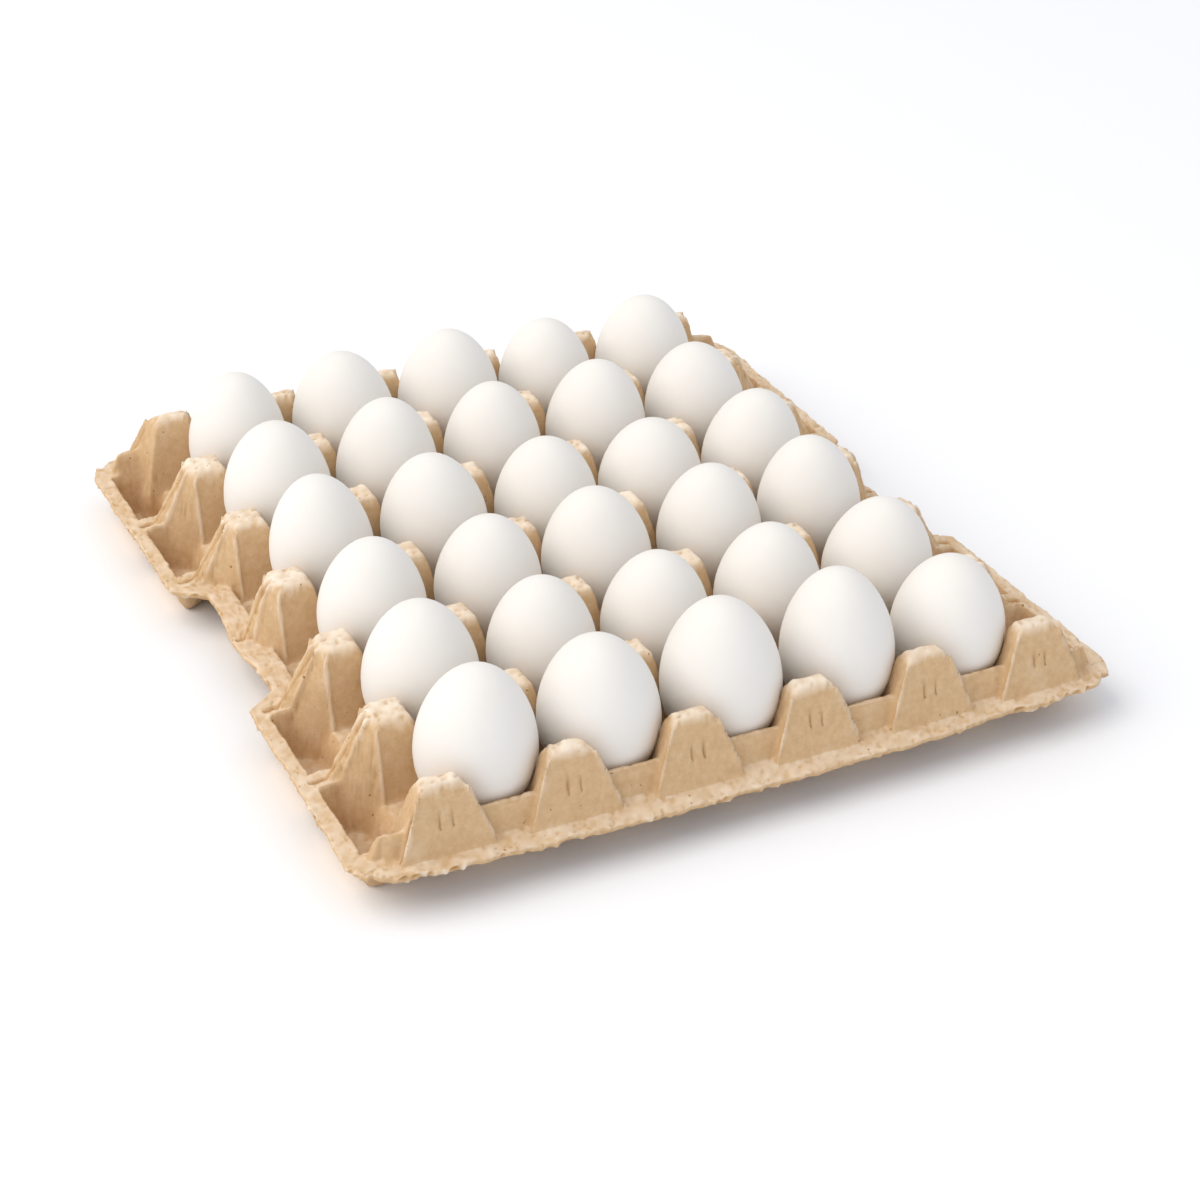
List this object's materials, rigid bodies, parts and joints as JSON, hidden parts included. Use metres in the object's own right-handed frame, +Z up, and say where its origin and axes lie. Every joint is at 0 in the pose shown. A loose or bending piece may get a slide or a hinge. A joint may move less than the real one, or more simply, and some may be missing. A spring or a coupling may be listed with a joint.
{
  "type": "egg carton with eggs",
  "caption": "Open moulded pulp egg tray with square posts between its cups, a torn flange with finger notches on two sides, and a white egg standing in every cup.",
  "frame": {"origin": "centre of the tray on the surface that its cups' feet stand on", "axes": "+X along the rows of five eggs, +Y along the rows of six eggs, +Z up; the eggs' blunt ends are down"},
  "size_m": [0.303, 0.311, 0.0694],
  "materials": {
    "pulp": "rough moulded recycled pulp, matt",
    "eggshell": "matt white eggshell"
  },
  "bodies": {
    "root": {"tray": "pulp", "egg_1_1": "eggshell", "egg_1_2": "eggshell", "egg_1_3": "eggshell", "egg_1_4": "eggshell", "egg_1_5": "eggshell", "egg_2_1": "eggshell", "egg_2_2": "eggshell", "egg_2_3": "eggshell", "egg_2_4": "eggshell", "egg_2_5": "eggshell", "egg_3_1": "eggshell", "egg_3_2": "eggshell", "egg_3_3": "eggshell", "egg_3_4": "eggshell", "egg_3_5": "eggshell", "egg_4_1": "eggshell", "egg_4_2": "eggshell", "egg_4_3": "eggshell", "egg_4_4": "eggshell", "egg_4_5": "eggshell", "egg_5_1": "eggshell", "egg_5_2": "eggshell", "egg_5_3": "eggshell", "egg_5_4": "eggshell", "egg_5_5": "eggshell", "egg_6_1": "eggshell", "egg_6_2": "eggshell", "egg_6_3": "eggshell", "egg_6_4": "eggshell", "egg_6_5": "eggshell"}
  },
  "joints": []
}
